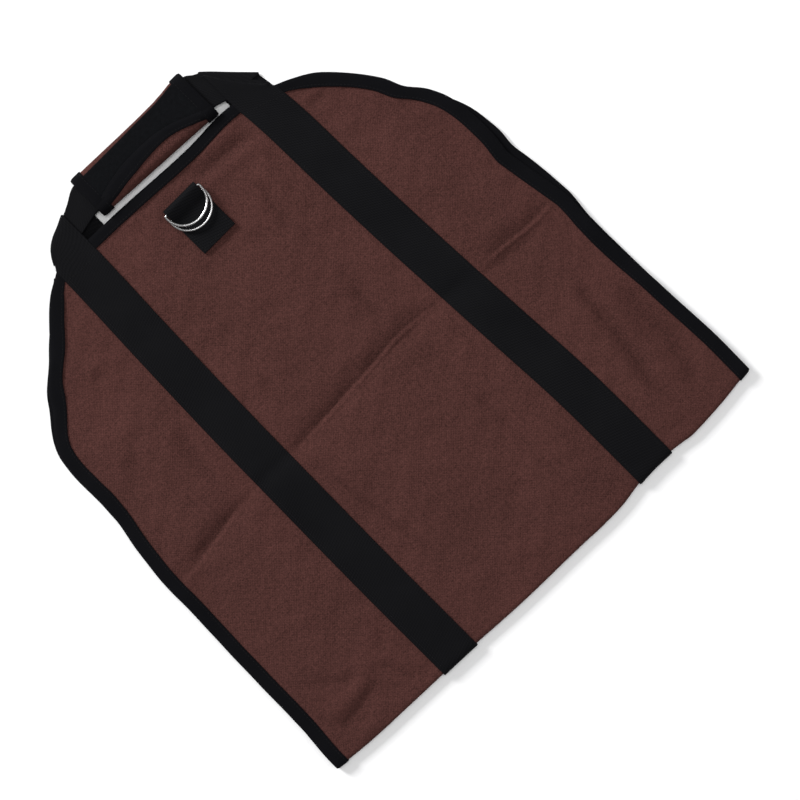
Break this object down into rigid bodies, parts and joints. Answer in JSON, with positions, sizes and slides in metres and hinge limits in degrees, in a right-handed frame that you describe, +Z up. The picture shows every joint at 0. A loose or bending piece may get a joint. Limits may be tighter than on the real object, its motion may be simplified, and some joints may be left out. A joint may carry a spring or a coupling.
{
  "type": "firewood bag",
  "caption": "Flat canvas log carrier folded once, with bound edges, webbing straps that run into padded handles, a closed grip wrap and a tab holding D-rings.",
  "frame": {"origin": "on the ground, under the middle of the folded bag's outline box", "axes": "+X across the bag, +Y from the fold towards the handles, +Z up from the ground that the bag lies on"},
  "size_m": [0.5014, 0.5408, 0.0178],
  "materials": {
    "canvas_cloth": "matt heavy woven canvas, reddish brown",
    "binding_tape": "matt black woven binding tape",
    "webbing": "black ribbed webbing with a slight sheen",
    "loop_tape": "black brushed loop tape",
    "ring_steel": "bright nickel-plated round wire"
  },
  "bodies": {
    "bag": {"canvas": "canvas_cloth", "binding_left": "binding_tape", "binding_right": "binding_tape", "binding_front_top": "binding_tape", "binding_back_top": "binding_tape", "strap_left": "webbing", "strap_right": "webbing", "grip_wrap": "canvas_cloth", "grip_binding_left": "binding_tape", "grip_binding_right": "binding_tape", "grip_flap_binding": "binding_tape", "grip_loop_tape": "loop_tape", "ring_tab": "webbing"},
    "lower_ring": {"ring_lower": "ring_steel"},
    "upper_ring": {"ring_upper": "ring_steel"}
  },
  "joints": [
    {"name": "upper_ring_flip", "type": "hinge", "parent": "bag", "child": "upper_ring", "pos_m": [0.00362, 0.1887, 0.01418], "axis": [-1, 0, 0], "range_deg": [0, 160]},
    {"name": "lower_ring_flip", "type": "hinge", "parent": "bag", "child": "lower_ring", "pos_m": [0.00362, 0.183, 0.01148], "axis": [-1, 0, 0], "range_deg": [0, 80]}
  ],
  "couplings": [
    {"joint": "lower_ring_flip", "follows": "upper_ring_flip", "ratio": 0.5}
  ]
}
